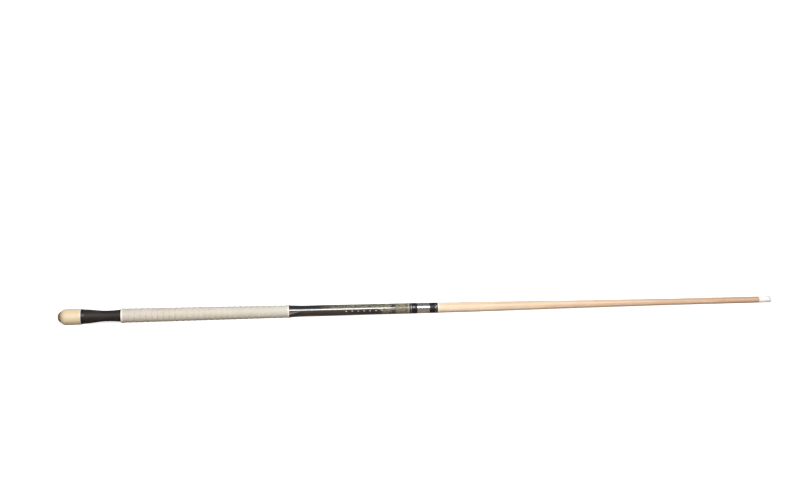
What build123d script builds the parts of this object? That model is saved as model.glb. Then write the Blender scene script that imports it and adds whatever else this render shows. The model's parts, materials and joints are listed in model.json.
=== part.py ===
from build123d import *
from math import cos, radians, sin, tan
import os

# A two-piece pool cue, in millimetres. It lies along X with its tip towards +X, and +Z is up.
# The origin is on the cue's axis, in the plane where the shaft meets the butt.

os.makedirs("parts", exist_ok=True)

# Places along the axis, from the butt end to the tip
half_length = 736.6
cap_start = -730.4
cap_round_end = -720.0
cap_end = -693.2
rear_ring_start = -691.8
sleeve_start = -685.2
sleeve_end = -618.4
wrap_collar_start = -615.4
wrap_start = -611.8
wrap_end = -288.0
forearm_start = -285.6
ringwork_start = -43.0
joint_rear_ring_start = -42.2
silver_ring_start = -39.2
joint_dash_ring_start = -36.6
joint_front_ring_start = -28.8
joint_collar_start = -25.4
shaft_dash_ring_start = 9.8
trim_ring_start = 16.9
shaft_start = 19.5
straight_start = 510.0
ferrule_start = 707.6
pad_start = 729.9
tip_start = 730.7

# Outer radii
bumper_face_radius = 5.0
bumper_radius = 10.9
cap_face_radius = 11.2
cap_radius = 15.75
rear_ring_radius = 14.9
sleeve_rear_radius = 14.1
sleeve_front_radius = 11.9
front_ring_radius = 12.3
wrap_collar_radius = 14.7
wrap_rear_radius = 14.4
wrap_front_radius = 12.8
forearm_rear_radius = 12.4
ringwork_radius = 10.7
joint_collar_radius = 10.6
joint_face_radius = 10.5
shaft_radius = 10.4
straight_radius = 6.5

# Outlines that are curved along the axis, as (place, radius)
sleeve_outline = [
    (sleeve_start, sleeve_rear_radius),
    (-671.0, 13.0),
    (-656.0, 11.3),
    (-638.0, 10.7),
    (sleeve_end, sleeve_front_radius),
]
forearm_outline = [
    (forearm_start, forearm_rear_radius),
    (-270.0, 11.4),
    (-225.0, 11.1),
    (-150.0, 10.85),
    (ringwork_start, ringwork_radius),
]
shaft_outline = [
    (shaft_start, shaft_radius),
    (95.0, 10.0),
    (190.0, 9.1),
    (300.0, 7.95),
    (425.0, 7.05),
    (straight_start, straight_radius + 0.05),
]

# Handle core and the wrap on it
core_tenon_radius = 8.0
wrap_thickness = 0.9
wrap_collar_round = 1.2
handle_stud_start = -345.0
handle_stud_end = -246.0
handle_stud_radius = 4.75
forearm_tenon_start = -305.6
forearm_tenon_radius = 7.0

# Weight bolt and its bore
weight_bolt_start = -700.0
weight_bolt_end = -640.0
weight_bolt_radius = 4.75
weight_bore_end = -636.0
weight_bore_radius = 4.85
hex_socket_radius = 2.9
hex_socket_depth = 6.0

# Bumper screw and its insert
screw_head_start = -734.4
screw_head_end = -731.9
screw_head_radius = 5.0
screw_end = -712.0
screw_gap = 0.1
bumper_insert_start = -729.8
bumper_insert_end = -716.0
bumper_insert_radius = 5.5

# Joint pin, and the insert that screws onto it
pin_start = -50.0
pin_buried_radius = 4.2
pin_end = 22.0
pin_nose = 1.2
joint_tenon_end = -9.0
joint_tenon_radius = 7.3
pilot_start = -6.35
pilot_floor = -6.6
pilot_radius = 5.45
pilot_gap = 0.08
shaft_insert_end = 24.0
shaft_bore_end = 27.0
shaft_bore_radius = 4.2
collar_face_end = 1.4
trim_ring_gap = 0.1
edge_break = 0.25

# Shaft tenon in the ferrule, and the tip's crown
ferrule_tenon_radius = 4.0
ferrule_tenon_end = 726.5
tip_crown = 2.2
tip_corner = 0.4

# Right-handed threads with 60 degree flanks and a flat crest an eighth of a pitch wide
pin_pitch = 25.4 / 14
pin_thread_radius = 3.97
pin_thread_start = -6.2
pin_thread_end = 20.0
screw_pitch = 25.4 / 20
screw_thread_radius = 3.175
screw_thread_start = -729.6
screw_thread_end = -713.4
thread_depth_in_pitches = 0.61
thread_gap = 0.09
ridge_foot = 0.1
bore_over_root = 0.2

# Silver dashes let into the rings on both sides of the joint
dash_depth = 1.4
joint_dash_count = 6
joint_dash_turn = 155.0
joint_dash_width = 3.4
joint_dash_length = 4.2
shaft_dash_count = 10
shaft_dash_turn = 168.0
shaft_dash_width = 3.2
shaft_dash_length = 2.4
shaft_dash_row_gap = 0.2


def finish(piece, label):
    """Names a finished piece and writes its STEP file."""
    piece.part.label = label
    export_step(piece.part, f"parts/{label}.step")


def turn_piece(label, outline):
    """A piece turned about X from a closed outline of straight lines, given as (place, radius)."""
    with BuildPart() as turned:
        with BuildSketch(Plane.XZ):
            with BuildLine():
                Polyline(*outline, close=True)
            make_face()
        revolve(axis=Axis.X)
    finish(turned, label)


def turn_ring(label, start, end, rear_radius, front_radius, bore_radius):
    """A plain ring, straight or slightly tapered outside."""
    outline = [(start, bore_radius), (end, bore_radius), (end, front_radius), (start, rear_radius)]
    turn_piece(label, outline)


def root_radius(thread_radius, pitch):
    return thread_radius - thread_depth_in_pitches * pitch


def cut_or_add_ridge(start, end, thread_radius, pitch, foot_radius, gap, mode):
    """Adds a helical ridge about X to the piece in hand, or cuts a groove for it that is wider by a gap."""
    flank = tan(radians(30))
    side_gap = gap / cos(radians(30))
    top_radius = thread_radius + gap
    height = top_radius - foot_radius
    top_half_width = pitch / 16 - gap * flank + side_gap
    foot_half_width = top_half_width + height * flank
    with BuildLine() as coil:
        Helix(pitch=pitch, height=end - start, radius=foot_radius, center=(start, 0, 0), direction=(1, 0, 0))
    foot = coil.line @ 0
    outward = Vector(0, foot.Y, foot.Z)
    around = Vector(1, 0, 0).cross(outward)
    with BuildSketch(Plane(origin=foot, x_dir=outward, z_dir=around)) as section:
        with BuildLine():
            Polyline(
                (0, -foot_half_width),
                (height, -top_half_width),
                (height, top_half_width),
                (0, foot_half_width),
                close=True,
            )
        make_face()
    sweep(section.sketch, path=coil.line, is_frenet=True, mode=mode)


def threaded_insert(label, start, end, outer_radius, mating_start, thread_radius, pitch):
    """A brass tube with an inside thread in step with a screw whose ridge begins at mating_start."""
    bore_radius = root_radius(thread_radius, pitch) + bore_over_root
    with BuildPart() as insert:
        with BuildSketch(Plane.YZ.offset(start - 3 * pitch)):
            Circle(outer_radius)
            Circle(bore_radius, mode=Mode.SUBTRACT)
        extrude(amount=end - start + 6 * pitch)
        cut_or_add_ridge(
            mating_start - 2 * pitch,
            end + 2 * pitch,
            thread_radius,
            pitch,
            bore_radius - ridge_foot,
            thread_gap,
            Mode.SUBTRACT,
        )
        with BuildSketch(Plane.YZ.offset(start)):
            Circle(outer_radius)
        extrude(amount=end - start, mode=Mode.INTERSECT)
    finish(insert, label)


def dash_blocks(middle, length, width, outer_radius, count, first_turn, mode):
    """Adds or cuts blocks spaced evenly round X, standing on the floor of the dashes' slots."""
    for index in range(count):
        turn = radians(first_turn + index * 360 / count)
        outward = Vector(0, cos(turn), sin(turn))
        slot_floor = Vector(middle, 0, 0) + outward * (outer_radius - dash_depth)
        with BuildSketch(Plane(origin=slot_floor, x_dir=(1, 0, 0), z_dir=outward)) as block:
            Rectangle(length, width)
        extrude(block.sketch, amount=2 * dash_depth, mode=mode)


def dash_ring(ring_label, dashes_label, start, end, rows, length, width, outer_radius, count):
    """A black ring with slots, and the silver dashes that fill them. Rows are (middle, first turn)."""
    with BuildPart() as ring:
        with BuildSketch(Plane.YZ.offset(start)):
            Circle(outer_radius)
            Circle(joint_tenon_radius, mode=Mode.SUBTRACT)
        extrude(amount=end - start)
        for middle, first_turn in rows:
            dash_blocks(middle, length, width, outer_radius, count, first_turn, Mode.SUBTRACT)
    finish(ring, ring_label)

    with BuildPart() as dashes:
        for middle, first_turn in rows:
            dash_blocks(middle, length, width, outer_radius, count, first_turn, Mode.ADD)
        with BuildSketch(Plane.YZ.offset(start)):
            Circle(outer_radius)
        extrude(amount=end - start, mode=Mode.INTERSECT)
    finish(dashes, dashes_label)


# Butt end: a rubber bumper round the head of its screw
with BuildPart() as bumper:
    with BuildSketch(Plane.XZ):
        with BuildLine():
            Polyline(
                (-half_length, bumper_face_radius),
                (-half_length, 0),
                (screw_head_start - screw_gap, 0),
                (screw_head_start - screw_gap, screw_head_radius + screw_gap),
                (screw_head_end + screw_gap, screw_head_radius + screw_gap),
                (screw_head_end + screw_gap, screw_thread_radius + screw_gap),
                (cap_start, screw_thread_radius + screw_gap),
                (cap_start, bumper_radius),
            )
            ThreePointArc((cap_start, bumper_radius), (-734.0, 8.7), (-half_length, bumper_face_radius))
        make_face()
    revolve(axis=Axis.X)
finish(bumper, "bumper")

screw_root_radius = root_radius(screw_thread_radius, screw_pitch)
with BuildPart() as bumper_screw:
    with BuildSketch(Plane.XZ):
        with BuildLine():
            Polyline(
                (screw_head_start, 0),
                (screw_head_start, screw_head_radius),
                (screw_head_end, screw_head_radius),
                (screw_head_end, screw_thread_radius),
                (cap_start, screw_thread_radius),
                (cap_start, screw_root_radius),
                (screw_end - 1, screw_root_radius),
                (screw_end, screw_root_radius - 1),
                (screw_end, 0),
                close=True,
            )
        make_face()
    revolve(axis=Axis.X)
    cut_or_add_ridge(
        screw_thread_start,
        screw_thread_end,
        screw_thread_radius,
        screw_pitch,
        screw_root_radius - ridge_foot,
        0,
        Mode.ADD,
    )
finish(bumper_screw, "bumper_screw")

threaded_insert(
    "bumper_insert",
    bumper_insert_start,
    bumper_insert_end,
    bumper_insert_radius,
    screw_thread_start,
    screw_thread_radius,
    screw_pitch,
)

with BuildPart() as weight_bolt:
    with BuildSketch(Plane.YZ.offset(weight_bolt_start)):
        Circle(weight_bolt_radius)
    extrude(amount=weight_bolt_end - weight_bolt_start)
    chamfer(weight_bolt.edges().filter_by(GeomType.CIRCLE), 0.6)
    with BuildSketch(Plane.YZ.offset(weight_bolt_start)):
        RegularPolygon(hex_socket_radius, 6, major_radius=True)
    extrude(amount=hex_socket_depth, mode=Mode.SUBTRACT)
finish(weight_bolt, "weight_bolt")

with BuildPart() as butt_cap:
    with BuildSketch(Plane.XZ):
        with BuildLine():
            Polyline(
                (cap_start, cap_face_radius),
                (cap_start, core_tenon_radius),
                (cap_end, core_tenon_radius),
                (cap_end, cap_radius),
                (cap_round_end, cap_radius),
            )
            TangentArc((cap_round_end, cap_radius), (cap_start, cap_face_radius), tangent=(-1, 0))
        make_face()
    revolve(axis=Axis.X)
finish(butt_cap, "butt_cap")

turn_ring("cap_ring", cap_end, rear_ring_start, cap_radius - 0.1, cap_radius - 0.3, core_tenon_radius)
turn_ring(
    "sleeve_rear_ring", rear_ring_start, sleeve_start, rear_ring_radius, sleeve_rear_radius, core_tenon_radius
)

with BuildPart() as butt_sleeve:
    with BuildSketch(Plane.XZ):
        with BuildLine():
            Spline(*sleeve_outline)
            Polyline(
                sleeve_outline[-1],
                (sleeve_end, core_tenon_radius),
                (sleeve_start, core_tenon_radius),
                sleeve_outline[0],
            )
        make_face()
    revolve(axis=Axis.X)
finish(butt_sleeve, "butt_sleeve")

turn_ring(
    "sleeve_front_ring",
    sleeve_end,
    wrap_collar_start,
    sleeve_front_radius,
    front_ring_radius,
    core_tenon_radius,
)

with BuildPart() as wrap_collar:
    with BuildSketch(Plane.YZ.offset(wrap_collar_start)):
        Circle(wrap_collar_radius)
        Circle(core_tenon_radius, mode=Mode.SUBTRACT)
    extrude(amount=wrap_start - wrap_collar_start)
    fillet(wrap_collar.edges().filter_by(GeomType.CIRCLE).group_by(SortBy.RADIUS)[-1], wrap_collar_round)
finish(wrap_collar, "wrap_collar")

turn_piece(
    "handle_core",
    [
        (cap_start, bumper_insert_radius),
        (bumper_insert_end, bumper_insert_radius),
        (bumper_insert_end, weight_bore_radius),
        (weight_bore_end, weight_bore_radius),
        (weight_bore_end, 0),
        (handle_stud_start, 0),
        (handle_stud_start, handle_stud_radius),
        (forearm_tenon_start, handle_stud_radius),
        (forearm_tenon_start, forearm_tenon_radius),
        (forearm_start, forearm_tenon_radius),
        (forearm_start, wrap_front_radius - wrap_thickness),
        (wrap_end, wrap_front_radius - wrap_thickness),
        (wrap_start, wrap_rear_radius - wrap_thickness),
        (wrap_start, core_tenon_radius),
        (cap_start, core_tenon_radius),
    ],
)
turn_piece(
    "grip_wrap",
    [
        (wrap_start, wrap_rear_radius - wrap_thickness),
        (wrap_end, wrap_front_radius - wrap_thickness),
        (wrap_end, wrap_front_radius),
        (wrap_start, wrap_rear_radius),
    ],
)
turn_ring(
    "wrap_front_ring",
    wrap_end,
    forearm_start,
    wrap_front_radius,
    wrap_front_radius,
    wrap_front_radius - wrap_thickness,
)
turn_ring("handle_stud", handle_stud_start, handle_stud_end, handle_stud_radius, handle_stud_radius, 0)

with BuildPart() as forearm:
    with BuildSketch(Plane.XZ):
        with BuildLine():
            Spline(*forearm_outline)
            Polyline(
                (ringwork_start, ringwork_radius),
                (ringwork_start, joint_tenon_radius),
                (joint_tenon_end, joint_tenon_radius),
                (joint_tenon_end, pin_buried_radius),
                (pin_start, pin_buried_radius),
                (pin_start, 0),
                (handle_stud_end, 0),
                (handle_stud_end, handle_stud_radius),
                (forearm_tenon_start, handle_stud_radius),
                (forearm_tenon_start, forearm_tenon_radius),
                (forearm_start, forearm_tenon_radius),
                (forearm_start, forearm_rear_radius),
            )
        make_face()
    revolve(axis=Axis.X)
finish(forearm, "forearm")

# Ringwork and stainless collar at the front of the butt, on the forearm's tenon
for ring_label, ring_start, ring_end in [
    ("joint_trim_ring", ringwork_start, joint_rear_ring_start),
    ("joint_rear_ring", joint_rear_ring_start, silver_ring_start),
    ("joint_silver_ring", silver_ring_start, joint_dash_ring_start),
    ("joint_front_ring", joint_front_ring_start, joint_collar_start),
]:
    turn_ring(ring_label, ring_start, ring_end, ringwork_radius, ringwork_radius, joint_tenon_radius)

dash_ring(
    "joint_dash_ring",
    "joint_dashes",
    joint_dash_ring_start,
    joint_front_ring_start,
    [((joint_dash_ring_start + joint_front_ring_start) / 2, joint_dash_turn)],
    joint_dash_length,
    joint_dash_width,
    ringwork_radius,
    joint_dash_count,
)
turn_piece(
    "joint_collar",
    [
        (joint_collar_start, joint_tenon_radius),
        (joint_tenon_end, joint_tenon_radius),
        (joint_tenon_end, pin_thread_radius),
        (pilot_floor, pin_thread_radius),
        (pilot_floor, pilot_radius + pilot_gap),
        (0, pilot_radius + pilot_gap),
        (0, joint_face_radius - edge_break),
        (-edge_break, joint_face_radius),
        (joint_collar_start, joint_collar_radius),
    ],
)

pin_root_radius = root_radius(pin_thread_radius, pin_pitch)
with BuildPart() as joint_pin:
    with BuildSketch(Plane.XZ):
        with BuildLine():
            Polyline(
                (pin_start, 0),
                (pin_start, pin_buried_radius),
                (joint_tenon_end, pin_buried_radius),
                (joint_tenon_end, pin_thread_radius),
                (pilot_floor, pin_thread_radius),
                (pilot_floor, pin_root_radius),
                (pin_end - pin_nose, pin_root_radius),
                (pin_end, pin_root_radius - pin_nose),
                (pin_end, 0),
                close=True,
            )
        make_face()
    revolve(axis=Axis.X)
    cut_or_add_ridge(
        pin_thread_start,
        pin_thread_end,
        pin_thread_radius,
        pin_pitch,
        pin_root_radius - ridge_foot,
        0,
        Mode.ADD,
    )
finish(joint_pin, "joint_pin")

# Shaft: brass insert, black collar, ringwork, maple, ferrule and tip
threaded_insert(
    "shaft_insert",
    pilot_start,
    shaft_insert_end,
    pilot_radius,
    pin_thread_start,
    pin_thread_radius,
    pin_pitch,
)

turn_piece(
    "shaft_collar",
    [
        (0, pilot_radius),
        (collar_face_end, pilot_radius),
        (collar_face_end, joint_tenon_radius),
        (shaft_dash_ring_start, joint_tenon_radius),
        (shaft_dash_ring_start, joint_face_radius),
        (edge_break, joint_face_radius),
        (0, joint_face_radius - edge_break),
    ],
)
shaft_dash_middle = (shaft_dash_ring_start + trim_ring_start) / 2
shaft_dash_offset = (shaft_dash_length + shaft_dash_row_gap) / 2
dash_ring(
    "shaft_dash_ring",
    "shaft_dashes",
    shaft_dash_ring_start,
    trim_ring_start,
    [
        (shaft_dash_middle - shaft_dash_offset, shaft_dash_turn),
        (shaft_dash_middle + shaft_dash_offset, shaft_dash_turn + 180 / shaft_dash_count),
    ],
    shaft_dash_length,
    shaft_dash_width,
    joint_face_radius,
    shaft_dash_count,
)
turn_ring(
    "shaft_trim_ring",
    trim_ring_start,
    shaft_start,
    joint_face_radius,
    joint_face_radius,
    joint_tenon_radius + trim_ring_gap,
)

with BuildPart() as shaft:
    with BuildSketch(Plane.XZ):
        with BuildLine():
            Spline(*shaft_outline)
            Polyline(
                shaft_outline[-1],
                (ferrule_start, straight_radius),
                (ferrule_start, ferrule_tenon_radius),
                (ferrule_tenon_end, ferrule_tenon_radius),
                (ferrule_tenon_end, 0),
                (shaft_bore_end, 0),
                (shaft_bore_end, shaft_bore_radius),
                (shaft_insert_end, shaft_bore_radius),
                (shaft_insert_end, pilot_radius),
                (collar_face_end, pilot_radius),
                (collar_face_end, joint_tenon_radius),
                (shaft_start, joint_tenon_radius),
                (shaft_start, shaft_radius),
            )
        make_face()
    revolve(axis=Axis.X)
finish(shaft, "shaft")

turn_piece(
    "ferrule",
    [
        (ferrule_start, ferrule_tenon_radius),
        (ferrule_tenon_end, ferrule_tenon_radius),
        (ferrule_tenon_end, 0),
        (pad_start, 0),
        (pad_start, straight_radius),
        (ferrule_start, straight_radius),
    ],
)
turn_ring("tip_pad", pad_start, tip_start, straight_radius, straight_radius, 0)

crown_radius = (straight_radius**2 + tip_crown**2) / (2 * tip_crown)
with BuildPart() as tip:
    with BuildSketch(Plane.XZ):
        with BuildLine():
            Polyline(
                (half_length, 0),
                (tip_start, 0),
                (tip_start, straight_radius),
                (half_length - tip_crown, straight_radius),
            )
            RadiusArc((half_length - tip_crown, straight_radius), (half_length, 0), crown_radius)
        make_face()
    revolve(axis=Axis.X)
    crown_start = half_length - tip_crown
    fillet(tip.edges().filter_by_position(Axis.X, crown_start - 0.1, crown_start + 0.1), tip_corner)
finish(tip, "tip")
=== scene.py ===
import json
import math

import bpy
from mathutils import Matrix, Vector


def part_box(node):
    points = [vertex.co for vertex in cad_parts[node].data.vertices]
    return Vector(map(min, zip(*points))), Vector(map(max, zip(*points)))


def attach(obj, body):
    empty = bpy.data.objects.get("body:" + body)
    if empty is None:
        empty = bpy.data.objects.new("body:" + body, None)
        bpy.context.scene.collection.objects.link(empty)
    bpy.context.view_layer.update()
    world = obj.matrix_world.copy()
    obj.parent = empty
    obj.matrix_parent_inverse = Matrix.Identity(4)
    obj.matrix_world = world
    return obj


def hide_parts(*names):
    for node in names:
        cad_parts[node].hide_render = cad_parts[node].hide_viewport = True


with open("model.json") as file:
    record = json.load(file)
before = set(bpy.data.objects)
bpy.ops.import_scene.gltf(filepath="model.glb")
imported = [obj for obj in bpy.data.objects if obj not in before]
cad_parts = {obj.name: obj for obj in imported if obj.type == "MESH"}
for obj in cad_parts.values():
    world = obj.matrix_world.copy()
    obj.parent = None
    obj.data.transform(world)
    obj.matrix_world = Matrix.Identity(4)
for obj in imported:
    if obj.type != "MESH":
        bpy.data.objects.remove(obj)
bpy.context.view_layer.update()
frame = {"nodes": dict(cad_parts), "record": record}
nodes = frame["nodes"]
body_of_node = {
    node: body for body, members in frame["record"]["behaviour"]["bodies"].items() for node in members
}


# ---------------------------------------------------------------- camera

LENS_MM = 50
SENSOR_MM = 36
FARTHEST_SEEN = 50
CAMERA_PLACE = (-0.3417, -2.2126, 0.4213)
PITCH_DOWN, ROLL, TURN_RIGHT = 7.14, 0.093, 7.275


def place_camera():
    """A camera 2.2 m in front of the butt half and 0.4 m above it, turned a little towards the tip."""
    lens = bpy.data.cameras.new("camera")
    lens.lens = LENS_MM
    lens.sensor_width = SENSOR_MM
    lens.clip_end = FARTHEST_SEEN
    camera = bpy.data.objects.new("camera", lens)
    bpy.context.scene.collection.objects.link(camera)
    camera.location = CAMERA_PLACE
    camera.rotation_euler = (math.radians(90 - PITCH_DOWN), math.radians(ROLL), math.radians(-TURN_RIGHT))
    bpy.context.scene.camera = camera


# ---------------------------------------------------------------- stage and light

FLOOR_RADIUS = 8.0
BEND_RADIUS = 1.0
WALL_HEIGHT = 4.0
STAGE_SIDES = 96
BEND_STEPS = 24


def seat_slope():
    """Slope of the floor under the thick butt and the thin tip, and the x and z where the butt touches it."""
    cap_low, cap_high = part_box("butt_cap")
    tip_low, tip_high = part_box("tip")
    return (tip_low.z - cap_low.z) / (tip_high.x - cap_high.x), cap_high.x, cap_low.z


def backdrop_profile():
    """The backdrop as (radius, height): the floor's rim, the bend and the top of the wall."""
    profile = [(FLOOR_RADIUS, 0.0)]
    for step in range(1, BEND_STEPS + 1):
        turn = math.pi / 2 * step / BEND_STEPS
        profile.append((FLOOR_RADIUS + BEND_RADIUS * math.sin(turn), BEND_RADIUS * (1 - math.cos(turn))))
    profile.append((FLOOR_RADIUS + BEND_RADIUS, WALL_HEIGHT))
    return profile


def ring_faces(rings, sides):
    """Faces between round rows of points, one row after another."""
    faces = []
    for ring in range(rings - 1):
        for side in range(sides):
            following = (side + 1) % sides
            row, next_row = ring * sides, (ring + 1) * sides
            faces.append((row + side, row + following, next_row + following, next_row + side))
    return faces


def stage_piece(name, points, faces, paint):
    mesh = bpy.data.meshes.new(name)
    mesh.from_pydata(points, [], faces)
    mesh.shade_smooth()
    piece = bpy.data.objects.new(name, mesh)
    bpy.context.scene.collection.objects.link(piece)
    piece.data.materials.append(paint)
    return piece


def make_stage():
    """A pale round floor that the cue lies on, and a backdrop all round it that only the camera sees."""
    slope, start_x, start_z = seat_slope()
    profile = backdrop_profile()
    points = []
    for radius, height in profile:
        for side in range(STAGE_SIDES):
            turn = 2 * math.pi * side / STAGE_SIDES
            x, y = radius * math.cos(turn), radius * math.sin(turn)
            points.append((x, y, height + start_z + slope * (x - start_x)))
    paint = floor_material()
    stage_piece("floor", points[:STAGE_SIDES], [tuple(range(STAGE_SIDES))], paint)
    backdrop = stage_piece("backdrop", points, ring_faces(len(profile), STAGE_SIDES), paint)
    backdrop.visible_diffuse = False
    backdrop.visible_glossy = False
    backdrop.visible_transmission = False
    backdrop.visible_shadow = False


def area_light(name, place, aim, width, height, radiance):
    """A rectangular soft light. Its power is worked out from the brightness of its face."""
    lamp = bpy.data.lights.new(name, "AREA")
    lamp.shape = "RECTANGLE"
    lamp.size = width
    lamp.size_y = height
    lamp.energy = radiance * width * height * math.pi
    light = bpy.data.objects.new(name, lamp)
    bpy.context.scene.collection.objects.link(light)
    light.location = place
    direction = Vector(aim) - Vector(place)
    light.rotation_euler = direction.to_track_quat("-Z", "Y").to_euler()


WORLD_COLOUR = (0.97, 0.985, 1.0, 1)
WORLD_STRENGTH = 0.21


def make_lights():
    """One long soft light over each half of the cue, a wide dim one in front, and a dim pale world."""
    world = bpy.data.worlds.new("studio")
    bpy.context.scene.world = world
    world.use_nodes = True
    background = world.node_tree.nodes["Background"]
    background.inputs["Color"].default_value = WORLD_COLOUR
    background.inputs["Strength"].default_value = WORLD_STRENGTH
    area_light(
        "butt_key", place=(-0.4, -1.28, 0.785), aim=(-0.4, 0, 0), width=1.0, height=0.5, radiance=14.0
    )
    area_light(
        "shaft_key", place=(0.72, -1.17, 0.95), aim=(0.72, 0, 0), width=1.1, height=0.4, radiance=7.8
    )
    area_light(
        "front_fill", place=(-0.3, -3.2, 1.5), aim=(-0.1, 0, 0), width=3.4, height=1.4, radiance=1.0
    )


# ---------------------------------------------------------------- turned pieces

ROUND_SEGMENTS = 96
END_TOLERANCE = 0.00001
AXIS_RADIUS = 0.000001
PLACE_DIGITS = 5
OUTSIDE_SHARE = 0.705
SHARP_DEGREES = 32
EDGE_STEPS = 3


def outline_of(node, start=None, end=None, least_share=OUTSIDE_SHARE):
    """The outer outline of a CAD node between two places on the axis, as (place, radius).

    Corners under a share of the largest radius are those of its bores and tenons.
    """
    low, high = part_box(node)
    start = low.x if start is None else start
    end = high.x if end is None else end
    widest = {}
    for vertex in nodes[node].data.vertices:
        x, y, z = vertex.co
        if start - END_TOLERANCE <= x <= end + END_TOLERANCE:
            place = round(x, PLACE_DIGITS)
            widest[place] = max(widest.get(place, 0), math.hypot(y, z))
    largest = max(widest.values())
    return [(x, r) for x, r in sorted(widest.items()) if r > least_share * largest]


def radius_on(outline, x):
    """Radius at a place on an outline of straight stretches."""
    for (x0, r0), (x1, r1) in zip(outline, outline[1:]):
        if x <= x1:
            return r0 + (r1 - r0) * max(0.0, x - x0) / (x1 - x0)
    return outline[-1][1]


def turned_mesh(name, outline):
    """A closed mesh turned about X from an outline of (place, radius), which begins and ends inside.

    A point on the axis is a single corner. An outline off the axis is closed into a loop.
    """
    points, rings, faces = [], [], []
    for x, radius in outline:
        count = 1 if radius < AXIS_RADIUS else ROUND_SEGMENTS
        rings.append((len(points), count))
        for step in range(count):
            turn = 2 * math.pi * step / ROUND_SEGMENTS
            points.append((x, radius * math.cos(turn), radius * math.sin(turn)))
    closing = rings if rings[0][1] == 1 and rings[-1][1] == 1 else rings + rings[:1]
    for (first, first_count), (second, second_count) in zip(closing, closing[1:]):
        for step in range(ROUND_SEGMENTS):
            following = (step + 1) % ROUND_SEGMENTS
            corners = [
                first + step % first_count,
                first + following % first_count,
                second + following % second_count,
                second + step % second_count,
            ]
            faces.append(tuple(dict.fromkeys(corners)))
    mesh = bpy.data.meshes.new(name)
    mesh.from_pydata(points, [], faces)
    return mesh


def add_piece(name, mesh, node, material, sharp_degrees=SHARP_DEGREES):
    """Puts a mesh in the scene in place of a CAD node, riding on that node's body."""
    mesh.shade_smooth()
    mesh.set_sharp_from_angle(angle=math.radians(sharp_degrees))
    piece = bpy.data.objects.new(name, mesh)
    bpy.context.scene.collection.objects.link(piece)
    piece.data.materials.append(material)
    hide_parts(node)
    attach(piece, body_of_node[node])
    return piece


def softened(outline, radius):
    """The outline with its two outer corners rounded by a small radius."""
    (x0, r0), (x1, r1) = outline[0], outline[-1]
    rear = []
    front = []
    for step in range(EDGE_STEPS + 1):
        turn = math.pi / 2 * step / EDGE_STEPS
        rear.append((x0 + radius * (1 - math.sin(turn)), r0 - radius * (1 - math.cos(turn))))
        front.append((x1 - radius * (1 - math.sin(turn)), r1 - radius * (1 - math.cos(turn))))
    middle = [(x, r) for x, r in outline if x0 + radius < x < x1 - radius]
    return list(reversed(rear)) + middle + front


def turned_piece(name, node, material, bores, edge=0.0, **limits):
    """Turns a CAD node's own outline finely. Bores are the inside radii at its rear and front."""
    outline = outline_of(node, **limits)
    if edge:
        outline = softened(outline, edge)
    closed = [(outline[0][0], bores[0])] + outline + [(outline[-1][0], bores[1])]
    return add_piece(name, turned_mesh(name, closed), node, material)


# ---------------------------------------------------------------- thread wrap

THREAD_PITCH = 0.0009
THREAD_DEPTH = 0.00011
THREAD_FULLNESS = 0.7
WRAP_WALL = 0.0009
WRAP_SEGMENTS = 48
ROWS_PER_THREAD = 5
WRAP_SHARP_DEGREES = 80


def wrap_mesh(name, outline):
    """The wrap as thread wound round the handle, each turn standing up as its own round ridge."""
    start, end = outline[0][0], outline[-1][0]
    rows = round((end - start) / THREAD_PITCH * ROWS_PER_THREAD)
    points = []
    for row in range(rows + 1):
        x = start + (end - start) * row / rows
        skin = radius_on(outline, x)
        for step in range(WRAP_SEGMENTS):
            share = step / WRAP_SEGMENTS
            phase = (x - start) / THREAD_PITCH - share
            height = abs(math.sin(math.pi * phase)) ** THREAD_FULLNESS
            radius = skin - THREAD_DEPTH * (1 - height)
            turn = 2 * math.pi * share
            points.append((x, radius * math.cos(turn), radius * math.sin(turn)))
    for x in (end, start):
        inside = radius_on(outline, x) - WRAP_WALL
        for step in range(WRAP_SEGMENTS):
            turn = 2 * math.pi * step / WRAP_SEGMENTS
            points.append((x, inside * math.cos(turn), inside * math.sin(turn)))
    inner_rings = 2
    rings = rows + 1 + inner_rings
    faces = ring_faces(rings, WRAP_SEGMENTS)
    last = (rings - 1) * WRAP_SEGMENTS
    for step in range(WRAP_SEGMENTS):
        following = (step + 1) % WRAP_SEGMENTS
        faces.append((last + step, last + following, following, step))
    mesh = bpy.data.meshes.new(name)
    mesh.from_pydata(points, [], faces)
    return mesh


# ---------------------------------------------------------------- material tools

def new_material(name):
    material = bpy.data.materials.new(name)
    material.use_nodes = True
    return material, material.node_tree, material.node_tree.nodes["Principled BSDF"]


def connect(tree, node, key, value):
    if isinstance(value, bpy.types.NodeSocket):
        tree.links.new(value, node.inputs[key])
    else:
        node.inputs[key].default_value = value


def add_node(tree, kind, inputs=None, **settings):
    """A shader node with its settings, and its inputs set to values or linked to sockets."""
    node = tree.nodes.new(kind)
    for key, value in settings.items():
        setattr(node, key, value)
    for key, value in (inputs or {}).items():
        connect(tree, node, key, value)
    return node


def set_inputs(tree, node, **inputs):
    for key, value in inputs.items():
        connect(tree, node, key.replace("_", " "), value)


def srgb(red, green, blue):
    """A colour given as 0 to 255 screen values, as the shader's linear values."""
    def linear(value):
        value /= 255
        return value / 12.92 if value <= 0.04045 else ((value + 0.055) / 1.055) ** 2.4

    return (linear(red), linear(green), linear(blue), 1.0)


def calc(tree, operation, first, second=0.0, third=0.0):
    return add_node(tree, "ShaderNodeMath", {0: first, 1: second, 2: third}, operation=operation).outputs[0]


def noise(tree, point, scale, detail=3.0, roughness=0.55, distortion=0.0):
    return add_node(
        tree,
        "ShaderNodeTexNoise",
        {
            "Vector": point,
            "Scale": scale,
            "Detail": detail,
            "Roughness": roughness,
            "Distortion": distortion,
        },
    ).outputs["Fac"]


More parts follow.
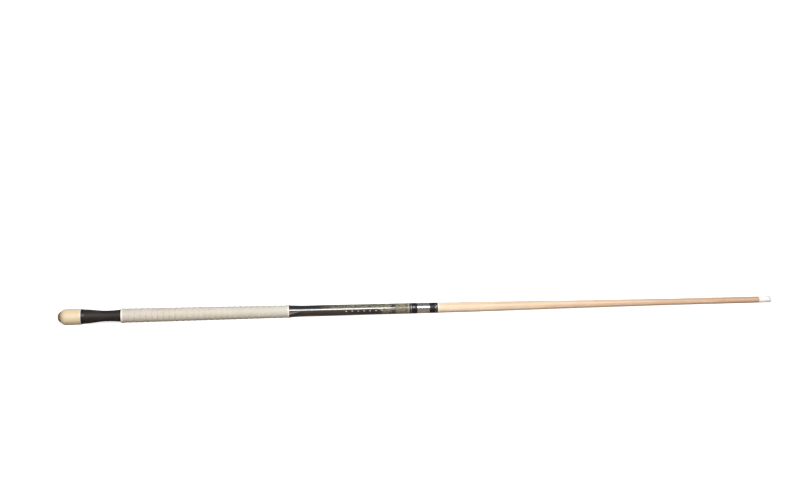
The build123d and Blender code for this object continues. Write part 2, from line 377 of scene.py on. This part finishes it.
def line_noise(tree, position, scale, detail=2.0):
    """Noise along one line, which makes rings round the cue where the position is a place along X."""
    place = calc(tree, "MULTIPLY", position, scale)
    return add_node(
        tree, "ShaderNodeTexNoise", {"W": place, "Scale": 1.0, "Detail": detail}, noise_dimensions="1D"
    ).outputs["Fac"]


def ramp(tree, factor, stops):
    """A colour ramp through (position, colour) stops."""
    node = add_node(tree, "ShaderNodeValToRGB", {"Fac": factor})
    while len(node.color_ramp.elements) < len(stops):
        node.color_ramp.elements.new(1.0)
    for element, (position, colour) in zip(node.color_ramp.elements, stops):
        element.position = position
        element.color = colour
    return node.outputs["Color"]


MIX_FACTOR, MIX_FIRST_COLOUR, MIX_SECOND_COLOUR, MIX_COLOUR_RESULT = 0, 6, 7, 2


def mix(tree, factor, first, second, blend="MIX"):
    """Two colours mixed. The node's sockets share their names between its types, so they go by number."""
    inputs = {MIX_FACTOR: factor, MIX_FIRST_COLOUR: first, MIX_SECOND_COLOUR: second}
    node = add_node(tree, "ShaderNodeMix", data_type="RGBA", blend_type=blend)
    for index, value in inputs.items():
        connect(tree, node, index, value)
    return node.outputs[MIX_COLOUR_RESULT]


def between(tree, value, low, high, to_low=0.0, to_high=1.0):
    """The value mapped from one range to another, and held at the ends."""
    return add_node(
        tree,
        "ShaderNodeMapRange",
        {"Value": value, "From Min": low, "From Max": high, "To Min": to_low, "To Max": to_high},
    ).outputs[0]


def bump(tree, height, distance, strength):
    inputs = {"Height": height, "Distance": distance, "Strength": strength}
    return add_node(tree, "ShaderNodeBump", inputs).outputs[0]


class Place:
    """Where a shading point is on the cue: the object point, x along it, and the angle round it."""

    def __init__(self, tree):
        self.point = add_node(tree, "ShaderNodeTexCoord").outputs["Object"]
        parts = add_node(tree, "ShaderNodeSeparateXYZ", {0: self.point}).outputs
        self.x, self.y, self.z = parts[0], parts[1], parts[2]
        toward_front = calc(tree, "MULTIPLY", self.y, -1.0)
        angle = calc(tree, "ARCTAN2", self.z, toward_front)
        self.degrees = calc(tree, "MULTIPLY", angle, 180 / math.pi)
        self.tree = tree

    def stretched(self, along, across):
        """The object point scaled, so that a noise read there is drawn out along or across the cue."""
        return add_node(
            self.tree, "ShaderNodeMapping", {"Vector": self.point, "Scale": (along, across, across)}
        ).outputs[0]

    def unrolled(self, along, per_turn):
        """The surface rolled out flat, with so many units round one turn."""
        across = calc(self.tree, "MULTIPLY", self.degrees, per_turn / 360)
        length = calc(self.tree, "MULTIPLY", self.x, along)
        return add_node(self.tree, "ShaderNodeCombineXYZ", {0: length, 1: across}).outputs[0]


def ring_tangent(tree):
    """The direction round the cue, for metal brushed on a lathe."""
    return add_node(tree, "ShaderNodeTangent", direction_type="RADIAL", axis="X").outputs[0]


# ---------------------------------------------------------------- materials

def floor_glow(tree, point):
    """Glow of the floor, which grows away from the cue until it is as white as the backdrop."""
    distance = add_node(tree, "ShaderNodeVectorMath", {0: point}, operation="LENGTH").outputs["Value"]
    return between(tree, distance, 2.0, 6.0, 0.75, 0.95)


def floor_material():
    """Pale matte paint that glows for the camera only, and throws little light onto the cue's underside."""
    material, tree, shader = new_material("floor_paint")
    point = add_node(tree, "ShaderNodeTexCoord").outputs["Object"]
    tone = noise(tree, point, 1.4, 2)
    colour = ramp(tree, tone, [(0.3, (0.91, 0.91, 0.91, 1)), (0.7, (0.93, 0.93, 0.93, 1))])
    set_inputs(
        tree,
        shader,
        Base_Color=colour,
        Roughness=0.9,
        Specular_IOR_Level=0.1,
        Emission_Color=(1, 1, 1, 1),
        Emission_Strength=floor_glow(tree, point),
    )
    dim = add_node(tree, "ShaderNodeBsdfDiffuse", {"Color": (0.33, 0.275, 0.225, 1)})
    seen = add_node(tree, "ShaderNodeLightPath").outputs["Is Camera Ray"]
    blend = add_node(tree, "ShaderNodeMixShader", {0: seen, 1: dim.outputs[0], 2: shader.outputs[0]})
    tree.links.new(blend.outputs[0], tree.nodes["Material Output"].inputs["Surface"])
    return material


def maple_material():
    """Straight-grained maple, paler by the joint and handled darker towards the tip."""
    material, tree, shader = new_material("maple")
    place = Place(tree)
    start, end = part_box("shaft_trim_ring")[1].x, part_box("ferrule")[0].x
    along = between(tree, place.x, start, end)
    base = ramp(tree, along, [
        (0.0, srgb(236, 220, 195)),
        (0.3, srgb(232, 212, 185)),
        (0.65, srgb(223, 196, 168)),
        (1.0, srgb(215, 184, 157)),
    ])
    grain = noise(tree, place.stretched(5, 520), 1.0, 4, 0.62, 0.5)
    rings = noise(tree, place.stretched(1.6, 130), 1.0, 2, 0.5, 0.8)
    figure = noise(tree, place.stretched(42, 60), 1.0, 2)
    deeper = mix(tree, 1.0, base, srgb(222, 192, 164), "MULTIPLY")
    coloured = mix(tree, between(tree, grain, 0.46, 0.72, 0.0, 0.6), base, deeper)
    coloured = mix(tree, between(tree, rings, 0.42, 0.6, 0.0, 0.42), coloured, deeper)
    coloured = mix(tree, between(tree, figure, 0.45, 0.75, 0.0, 0.22), coloured, deeper)
    flecks = noise(tree, place.stretched(170, 3000), 1.0, 1)
    coloured = mix(tree, between(tree, flecks, 0.69, 0.77, 0.0, 0.5), coloured, srgb(172, 128, 94))
    handled = between(tree, noise(tree, place.stretched(9, 14), 1.0, 3), 0.5, 0.75, 0.0, 0.16)
    chalked = calc(tree, "MULTIPLY", handled, between(tree, place.x, start, end, 0.3, 1.0))
    coloured = mix(tree, chalked, coloured, srgb(150, 140, 142))
    set_inputs(
        tree,
        shader,
        Base_Color=coloured,
        Roughness=between(tree, grain, 0.3, 0.8, 0.36, 0.5),
        Normal=bump(tree, grain, 0.00004, 0.5),
        Coat_Weight=0.12,
        Coat_Roughness=0.35,
    )
    return material


def side_panels(tree, place, along, side, colour, brown):
    """Brown panel on the low side, olive burl on the high side, and gold burl all round by the joint."""
    burl = noise(tree, place.stretched(120, 260), 1.0, 4, 0.62, 1.6)
    olive = ramp(tree, burl, [
        (0.30, srgb(28, 26, 22)),
        (0.44, srgb(74, 71, 56)),
        (0.55, srgb(112, 107, 84)),
        (0.66, srgb(146, 141, 124)),
    ])
    gold = ramp(tree, burl, [
        (0.33, srgb(30, 24, 32)),
        (0.42, srgb(76, 69, 54)),
        (0.52, srgb(122, 114, 91)),
        (0.64, srgb(156, 148, 125)),
    ])
    wander = calc(tree, "MULTIPLY_ADD", noise(tree, place.stretched(30, 60), 1.0, 2), 26.0, -13.0)
    edge = calc(tree, "ADD", side, wander)

    low_panel = between(tree, edge, 4.0, -4.0)
    brown_reach = calc(
        tree, "MULTIPLY", between(tree, along, 0.08, 0.13), between(tree, along, 0.62, 0.48)
    )
    below = between(tree, side, -66.0, -78.0)
    panelled = mix(tree, calc(tree, "MULTIPLY", low_panel, brown_reach), colour, brown)
    panelled = mix(tree, below, panelled, colour)

    high_panel = between(tree, edge, 8.0, 20.0)
    olive_reach = calc(
        tree, "MULTIPLY", between(tree, along, 0.24, 0.40), between(tree, burl, 0.34, 0.48)
    )
    panelled = mix(tree, calc(tree, "MULTIPLY", high_panel, olive_reach), panelled, olive)

    ragged = calc(tree, "MULTIPLY_ADD", burl, 0.24, -0.12)
    gold_reach = between(tree, calc(tree, "ADD", along, ragged), 0.76, 0.82)
    panelled = mix(tree, gold_reach, panelled, gold)
    band_centre, band_edge, band_core = 0.865, 0.035, 0.012
    off_band = calc(tree, "ABSOLUTE", calc(tree, "SUBTRACT", along, band_centre))
    dark_band = calc(
        tree, "MULTIPLY", between(tree, off_band, band_edge, band_core), between(tree, burl, 0.62, 0.48)
    )
    return mix(tree, dark_band, panelled, srgb(26, 20, 30))


def grey_point(tree, along, side, colour):
    """A grey point let into the black at the wrap."""
    point_length = 0.1
    point_half_width = 13.0
    point_share = between(tree, along, 0.0, point_length, 1.0, 0.0)
    point_axis = between(tree, along, 0.0, point_length, -12.0, 8.0)
    off_axis = calc(tree, "ABSOLUTE", calc(tree, "SUBTRACT", side, point_axis))
    point_width = calc(tree, "MULTIPLY", point_share, point_half_width)
    in_point = between(tree, calc(tree, "SUBTRACT", point_width, off_axis), -0.5, 1.0)
    return mix(tree, in_point, colour, srgb(112, 110, 106))


def diamond_row(tree, distance, along, side, colour):
    """Pale diamonds in a row along the brown and black."""
    pitch, half_length, half_turn, row_side = 0.0121, 0.0021, 7.0, -4.0
    step = calc(tree, "DIVIDE", distance, pitch)
    offset = calc(tree, "SUBTRACT", calc(tree, "FRACT", step), 0.5)
    lengthwise = calc(tree, "DIVIDE", calc(tree, "ABSOLUTE", offset), half_length / pitch)
    off_row = calc(tree, "ABSOLUTE", calc(tree, "SUBTRACT", side, row_side))
    sideways = calc(tree, "DIVIDE", off_row, half_turn)
    in_diamond = between(tree, calc(tree, "ADD", lengthwise, sideways), 1.04, 0.9)
    row_reach = calc(
        tree, "MULTIPLY", between(tree, along, 0.455, 0.46), between(tree, along, 0.80, 0.795)
    )
    return mix(tree, calc(tree, "MULTIPLY", in_diamond, row_reach), colour, srgb(196, 190, 180))


def forearm_material():
    """Dark stained wood under clear gloss, with a grey point, coloured panels and a row of pale diamonds."""
    material, tree, shader = new_material("forearm_wood")
    place = Place(tree)
    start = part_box("wrap_front_ring")[1].x
    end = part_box("joint_trim_ring")[0].x
    along = between(tree, place.x, start, end)
    # The decoration is the same on both sides of the cue, each half turn of it running from low to high
    low_side, high_side = -80.0, 100.0
    side = calc(tree, "WRAP", place.degrees, high_side, low_side)

    grain = noise(tree, place.stretched(9, 420), 1.0, 4, 0.6, 0.6)
    black = mix(tree, grain, srgb(4, 4, 4), srgb(15, 12, 11))
    brown = ramp(tree, grain, [(0.3, srgb(14, 9, 7)), (0.55, srgb(42, 29, 22)), (0.8, srgb(68, 49, 37))])
    colour = side_panels(tree, place, along, side, black, brown)
    colour = grey_point(tree, along, side, colour)
    colour = diamond_row(tree, calc(tree, "SUBTRACT", place.x, start), along, side, colour)

    scuffs = noise(tree, place.stretched(60, 900), 1.0, 3, 0.6)
    set_inputs(
        tree,
        shader,
        Base_Color=colour,
        Roughness=between(tree, grain, 0.3, 0.8, 0.36, 0.5),
        Coat_Weight=1.0,
        Coat_Roughness=0.07,
        Coat_IOR=1.7,
        Coat_Normal=bump(tree, scuffs, 0.000004, 0.5),
    )
    return material


def wrap_material():
    """Flecked linen thread, pressed and polished, with painted shade darkening the hollows between the turns.
    """
    material, tree, shader = new_material("thread_wrap")
    place = Place(tree)
    start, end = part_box("grip_wrap")[0].x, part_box("grip_wrap")[1].x
    turns = calc(tree, "DIVIDE", calc(tree, "SUBTRACT", place.x, start), THREAD_PITCH)
    angle = calc(tree, "ARCTAN2", place.z, place.y)
    phase = calc(tree, "SUBTRACT", turns, calc(tree, "MULTIPLY", angle, 1 / (2 * math.pi)))
    wave = calc(tree, "ABSOLUTE", calc(tree, "SINE", calc(tree, "MULTIPLY", phase, math.pi)))
    flecks = noise(tree, place.unrolled(900, 26), 1.0, 3, 0.7)
    cloud = noise(tree, place.unrolled(46, 5), 1.0, 3)
    fibres = noise(tree, place.unrolled(5200, 150), 1.0, 2)
    along = between(tree, place.x, start, end)
    thread = ramp(tree, along, [
        (0.0, srgb(204, 198, 188)),
        (0.5, srgb(204, 199, 188)),
        (0.85, srgb(203, 200, 189)),
        (1.0, srgb(205, 203, 195)),
    ])
    warm = mix(tree, 1.0, thread, srgb(222, 210, 192), "MULTIPLY")
    colour = mix(tree, between(tree, flecks, 0.45, 0.7, 0.0, 0.6), thread, warm)
    colour = mix(tree, between(tree, cloud, 0.4, 0.7, 0.0, 0.15), colour, warm)
    colour = mix(tree, between(tree, flecks, 0.36, 0.28, 0.0, 0.5), colour, srgb(246, 243, 238))
    # Painted shade: the colour is darkened in the hollows between the thread turns, where shade would fall
    groove_shade = mix(tree, 1.0, colour, srgb(176, 160, 140), "MULTIPLY")
    colour = mix(tree, between(tree, wave, 0.5, 0.05, 0.0, 0.45), colour, groove_shade)
    height = calc(tree, "MULTIPLY_ADD", fibres, 0.35, wave)
    set_inputs(
        tree,
        shader,
        Base_Color=colour,
        Roughness=between(tree, flecks, 0.3, 0.7, 0.5, 0.66),
        Specular_IOR_Level=0.4,
        Sheen_Weight=0.12,
        Sheen_Roughness=0.4,
        Normal=bump(tree, height, 0.00006, 0.6),
    )
    return material


def sleeve_material():
    """Matte black-brown cover with a fine pebbled grain, rubbed greyer where it is handled."""
    material, tree, shader = new_material("sleeve_cover")
    place = Place(tree)
    pebbles = add_node(
        tree,
        "ShaderNodeTexVoronoi",
        {"Vector": place.stretched(1500, 1500), "Scale": 1.0, "Randomness": 1.0},
    ).outputs["Distance"]
    cloud = noise(tree, place.stretched(60, 90), 1.0, 4, 0.6)
    colour = ramp(tree, cloud, [
        (0.3, srgb(26, 21, 19)),
        (0.55, srgb(36, 30, 27)),
        (0.75, srgb(52, 45, 41)),
    ])
    rubbed = between(tree, noise(tree, place.stretched(150, 70), 1.0, 3), 0.6, 0.78, 0.0, 0.4)
    colour = mix(tree, rubbed, colour, srgb(92, 87, 80))
    colour = mix(tree, between(tree, pebbles, 0.5, 0.8, 0.0, 0.5), colour, srgb(24, 20, 19))
    set_inputs(
        tree,
        shader,
        Base_Color=colour,
        Roughness=between(tree, cloud, 0.3, 0.7, 0.52, 0.7),
        Specular_IOR_Level=0.35,
        Normal=bump(tree, pebbles, 0.0001, 0.55),
    )
    return material


def cream_material():
    """Cast cream resin like old ivory, with faint growth lines and a few hairline marks."""
    material, tree, shader = new_material("cream_resin")
    place = Place(tree)
    lines = noise(tree, place.stretched(14, 260), 1.0, 3, 0.6, 1.2)
    cloud = noise(tree, place.stretched(70, 70), 1.0, 3)
    colour = ramp(tree, lines, [
        (0.3, srgb(222, 207, 177)),
        (0.55, srgb(218, 201, 170)),
        (0.75, srgb(210, 190, 157)),
    ])
    colour = mix(tree, between(tree, cloud, 0.45, 0.75, 0.0, 0.35), colour, srgb(226, 194, 160))
    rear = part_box("butt_cap")[0].x
    worn_end = between(tree, place.x, rear + 0.006, rear)
    worn = calc(tree, "MULTIPLY", worn_end, between(tree, cloud, 0.35, 0.65, 0.2, 0.7))
    colour = mix(tree, worn, colour, srgb(196, 164, 132))
    scratches = noise(tree, place.stretched(900, 120), 1.0, 2)
    set_inputs(
        tree,
        shader,
        Base_Color=colour,
        Roughness=between(tree, scratches, 0.3, 0.7, 0.42, 0.58),
        Subsurface_Weight=0.6,
        Subsurface_Radius=(0.012, 0.008, 0.005),
        Subsurface_Scale=1.0,
        Normal=bump(tree, scratches, 0.00001, 0.4),
        Coat_Weight=0.12,
        Coat_Roughness=0.3,
    )
    return material


def ivory_material(name, base, tint):
    """Polished pale resin of the thin rings."""
    material, tree, shader = new_material(name)
    place = Place(tree)
    lines = line_noise(tree, place.x, 9000)
    cloud = noise(tree, place.stretched(300, 160), 1.0, 3)
    colour = mix(tree, between(tree, cloud, 0.35, 0.7), base, tint)
    set_inputs(
        tree,
        shader,
        Base_Color=colour,
        Roughness=between(tree, lines, 0.3, 0.7, 0.2, 0.34),
        Normal=bump(tree, lines, 0.000006, 0.5),
        Coat_Weight=0.4,
        Coat_Roughness=0.12,
    )
    return material


def phenolic_material():
    """Black phenolic polished on a lathe, with faint rings and dust."""
    material, tree, shader = new_material("black_phenolic")
    place = Place(tree)
    lines = line_noise(tree, place.x, 7000)
    cloud = noise(tree, place.stretched(240, 240), 1.0, 4)
    colour = ramp(tree, cloud, [
        (0.35, srgb(15, 13, 13)),
        (0.65, srgb(27, 24, 23)),
        (0.8, srgb(44, 40, 38)),
    ])
    set_inputs(
        tree,
        shader,
        Base_Color=colour,
        Roughness=between(tree, cloud, 0.3, 0.7, 0.38, 0.5),
        Specular_IOR_Level=0.4,
        Normal=bump(tree, lines, 0.000005, 0.5),
    )
    return material


def metal_material(name, base, dull, roughness, line_scale, anisotropy=0.5):
    """Metal turned on a lathe: fine lines round the cue, with duller patches from handling."""
    material, tree, shader = new_material(name)
    place = Place(tree)
    lines = line_noise(tree, place.x, line_scale, 3)
    cloud = noise(tree, place.stretched(160, 220), 1.0, 3)
    colour = mix(tree, between(tree, lines, 0.35, 0.7), base, dull)
    rough = calc(
        tree,
        "ADD",
        between(tree, cloud, 0.3, 0.7, roughness * 0.85, roughness * 1.15),
        between(tree, lines, 0.3, 0.7, -0.03, 0.03),
    )
    set_inputs(
        tree,
        shader,
        Base_Color=colour,
        Metallic=1.0,
        Roughness=rough,
        Anisotropic=anisotropy,
        Anisotropic_Rotation=0.25,
        Tangent=ring_tangent(tree),
        Normal=bump(tree, lines, 0.000006, 0.5),
    )
    return material


def brass_material():
    material, tree, shader = new_material("brass")
    place = Place(tree)
    cloud = noise(tree, place.stretched(180, 180), 1.0, 4)
    colour = ramp(tree, cloud, [(0.3, (0.78, 0.58, 0.26, 1)), (0.7, (0.60, 0.42, 0.18, 1))])
    set_inputs(
        tree,
        shader,
        Base_Color=colour,
        Metallic=1.0,
        Roughness=between(tree, cloud, 0.3, 0.7, 0.22, 0.4),
        Normal=bump(tree, line_noise(tree, place.x, 6000), 0.000006, 0.5),
    )
    return material


def core_wood_material():
    material, tree, shader = new_material("core_maple")
    place = Place(tree)
    grain = noise(tree, place.stretched(8, 400), 1.0, 4, 0.6, 0.5)
    colour = ramp(tree, grain, [(0.3, srgb(222, 192, 150)), (0.7, srgb(188, 152, 110))])
    set_inputs(tree, shader, Base_Color=colour, Roughness=0.62, Normal=bump(tree, grain, 0.00005, 0.5))
    return material


def rubber_material():
    """Brown-mauve rubber, scuffed and dusty on its face from standing on the floor."""
    material, tree, shader = new_material("bumper_rubber")
    place = Place(tree)
    mottle = noise(tree, place.stretched(700, 700), 1.0, 4, 0.65)
    pits = noise(tree, place.stretched(3200, 3200), 1.0, 2)
    colour = ramp(tree, mottle, [
        (0.3, srgb(112, 90, 82)),
        (0.55, srgb(140, 116, 106)),
        (0.75, srgb(164, 140, 128)),
    ])
    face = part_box("bumper")[0].x
    dusty = calc(
        tree, "MULTIPLY", between(tree, place.x, face + 0.002, face), between(tree, mottle, 0.4, 0.7)
    )
    colour = mix(tree, dusty, colour, srgb(184, 170, 158))
    set_inputs(
        tree,
        shader,
        Base_Color=colour,
        Roughness=between(tree, mottle, 0.3, 0.7, 0.66, 0.85),
        Specular_IOR_Level=0.35,
        Normal=bump(tree, pits, 0.00006, 0.6),
    )
    return material


def ferrule_material():
    """White ferrule with faint turning lines and a trace of blue-grey chalk towards the tip."""
    material, tree, shader = new_material("ferrule_white")
    place = Place(tree)
    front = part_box("ferrule")[1].x
    lines = line_noise(tree, place.x, 5200)
    cloud = noise(tree, place.stretched(260, 200), 1.0, 4)
    colour = mix(tree, between(tree, lines, 0.4, 0.7, 0.0, 0.5), srgb(251, 249, 246), srgb(241, 238, 232))
    chalk = calc(
        tree,
        "MULTIPLY",
        between(tree, place.x, front - 0.008, front, 0.1, 0.5),
        between(tree, cloud, 0.45, 0.7),
    )
    colour = mix(tree, chalk, colour, srgb(196, 206, 208))
    set_inputs(
        tree,
        shader,
        Base_Color=colour,
        Roughness=between(tree, cloud, 0.3, 0.7, 0.3, 0.45),
        Normal=bump(tree, lines, 0.000008, 0.5),
        Coat_Weight=0.2,
        Coat_Roughness=0.2,
    )
    return material


def fibre_material():
    material, tree, shader = new_material("pressed_fibre")
    place = Place(tree)
    fibres = noise(tree, place.stretched(2600, 900), 1.0, 3)
    colour = ramp(tree, fibres, [(0.3, srgb(196, 194, 190)), (0.7, srgb(222, 220, 215))])
    set_inputs(tree, shader, Base_Color=colour, Roughness=0.7, Normal=bump(tree, fibres, 0.00004, 0.5))
    return material


def tip_material():
    """Layered leather tip, burnished on its side and dusted with pale grey-green chalk."""
    material, tree, shader = new_material("tip_leather")
    place = Place(tree)
    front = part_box("tip")[1].x
    layers = line_noise(tree, place.x, 2600)
    dust = noise(tree, place.stretched(1600, 1600), 1.0, 4, 0.7)
    side = mix(tree, between(tree, layers, 0.4, 0.65), srgb(236, 237, 232), srgb(220, 220, 212))
    crown = mix(tree, between(tree, dust, 0.4, 0.65), srgb(243, 246, 241), srgb(230, 236, 231))
    colour = mix(tree, between(tree, place.x, front - 0.0026, front - 0.0018), side, crown)
    set_inputs(
        tree,
        shader,
        Base_Color=colour,
        Roughness=between(tree, dust, 0.3, 0.7, 0.7, 0.92),
        Specular_IOR_Level=0.3,
        Normal=bump(tree, dust, 0.00012, 0.6),
    )
    return material


# ---------------------------------------------------------------- pieces

# Inside radii of the turned pieces, all hidden by their neighbours
CORE_BORE = 0.008
HANDLE_BORE = 0.007
TENON_BORE = 0.0073
WRAP_RING_BORE = 0.0119
TRIM_RING_BORE = 0.0074
STEEL_COLLAR_BORE = 0.00553
BLACK_COLLAR_BORE = 0.0055
FERRULE_BORE = 0.004
FERRULE_FRONT_BORE = 0.0005

RING_EDGE = 0.00012
COLLAR_EDGE = 0.0002
SHAFT_OUTSIDE_SHARE = 0.6


def give(material, *names):
    """Gives CAD nodes a material."""
    for name in names:
        nodes[name].data.materials.clear()
        nodes[name].data.materials.append(material)


def turned_band(name, node, material, bore, edge=0.0):
    """A turned piece with the same bore from end to end."""
    turned_piece(name, node, material, (bore, bore), edge=edge)


def make_wood():
    """The maple of the shaft and the dark wood of the forearm, as far as their rings, with the ferrule."""
    turned_piece(
        "shaft_wood",
        "shaft",
        maple_material(),
        (TENON_BORE, FERRULE_BORE),
        start=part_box("shaft_trim_ring")[1].x,
        end=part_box("ferrule")[0].x,
        least_share=SHAFT_OUTSIDE_SHARE,
    )
    turned_piece(
        "ferrule_sleeve", "ferrule", ferrule_material(), (FERRULE_BORE, FERRULE_FRONT_BORE), edge=RING_EDGE
    )
    turned_piece(
        "forearm_wood",
        "forearm",
        forearm_material(),
        (HANDLE_BORE, TENON_BORE),
        start=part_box("wrap_front_ring")[1].x,
        end=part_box("joint_trim_ring")[0].x,
    )


def make_bands(phenolic):
    """The cap, the sleeve and every ring and collar along the cue."""
    ivory = ivory_material("ivory_resin", srgb(240, 232, 219), srgb(228, 216, 198))
    pearl = ivory_material("pearl_resin", srgb(238, 232, 224), srgb(224, 215, 203))
    satin = metal_material("ring_satin", (0.26, 0.25, 0.26, 1), (0.19, 0.18, 0.19, 1), 0.55, 9000, 0.2)
    stainless = metal_material("stainless", (0.78, 0.78, 0.785, 1), (0.60, 0.60, 0.61, 1), 0.26, 5200, 0.6)

    turned_band("sleeve_cover", "butt_sleeve", sleeve_material(), CORE_BORE)
    turned_band("cap_body", "butt_cap", cream_material(), CORE_BORE)
    turned_band("cap_trim", "cap_ring", ivory, CORE_BORE, RING_EDGE)
    turned_band("sleeve_rear_band", "sleeve_rear_ring", phenolic, CORE_BORE)
    turned_band("sleeve_front_band", "sleeve_front_ring", phenolic, CORE_BORE)
    turned_band("wrap_lip", "wrap_collar", pearl, CORE_BORE)
    turned_band("wrap_front_trim", "wrap_front_ring", ivory, WRAP_RING_BORE, RING_EDGE)
    turned_band("joint_trim", "joint_trim_ring", ivory, TENON_BORE, RING_EDGE)
    turned_band("joint_rear_band", "joint_rear_ring", phenolic, TENON_BORE)
    turned_band("joint_silver_band", "joint_silver_ring", satin, TENON_BORE, RING_EDGE)
    turned_band("joint_front_band", "joint_front_ring", phenolic, TENON_BORE)
    turned_piece(
        "joint_steel", "joint_collar", stainless, (TENON_BORE, STEEL_COLLAR_BORE), edge=COLLAR_EDGE
    )
    turned_piece(
        "shaft_black_collar", "shaft_collar", phenolic, (BLACK_COLLAR_BORE, TENON_BORE), edge=COLLAR_EDGE
    )
    turned_band("shaft_trim", "shaft_trim_ring", ivory, TRIM_RING_BORE, RING_EDGE)


def make_wrap():
    mesh = wrap_mesh("grip_thread", outline_of("grip_wrap"))
    add_piece("grip_thread", mesh, "grip_wrap", wrap_material(), WRAP_SHARP_DEGREES)


def dress_cad_nodes(phenolic):
    """Materials for the nodes that keep their CAD shape: threads, dashes, inner pieces, bumper and tip."""
    nickel = metal_material("ring_nickel", (0.36, 0.32, 0.30, 1), (0.22, 0.19, 0.175, 1), 0.45, 9000)
    pewter = metal_material("ring_pewter", (0.15, 0.155, 0.145, 1), (0.09, 0.092, 0.088, 1), 0.42, 9000)
    steel = metal_material("machined_steel", (0.52, 0.52, 0.53, 1), (0.40, 0.40, 0.41, 1), 0.32, 7000, 0.3)
    give(phenolic, "joint_dash_ring", "shaft_dash_ring")
    give(pewter, "joint_dashes")
    give(nickel, "shaft_dashes")
    give(steel, "joint_pin", "bumper_screw", "weight_bolt", "handle_stud")
    give(brass_material(), "shaft_insert", "bumper_insert")
    give(core_wood_material(), "handle_core")
    give(rubber_material(), "bumper")
    give(fibre_material(), "tip_pad")
    give(tip_material(), "tip")


def make_pieces():
    phenolic = phenolic_material()
    make_wood()
    make_bands(phenolic)
    make_wrap()
    dress_cad_nodes(phenolic)


place_camera()
make_stage()
make_lights()
make_pieces()
bpy.context.scene.view_settings.view_transform = "Standard"
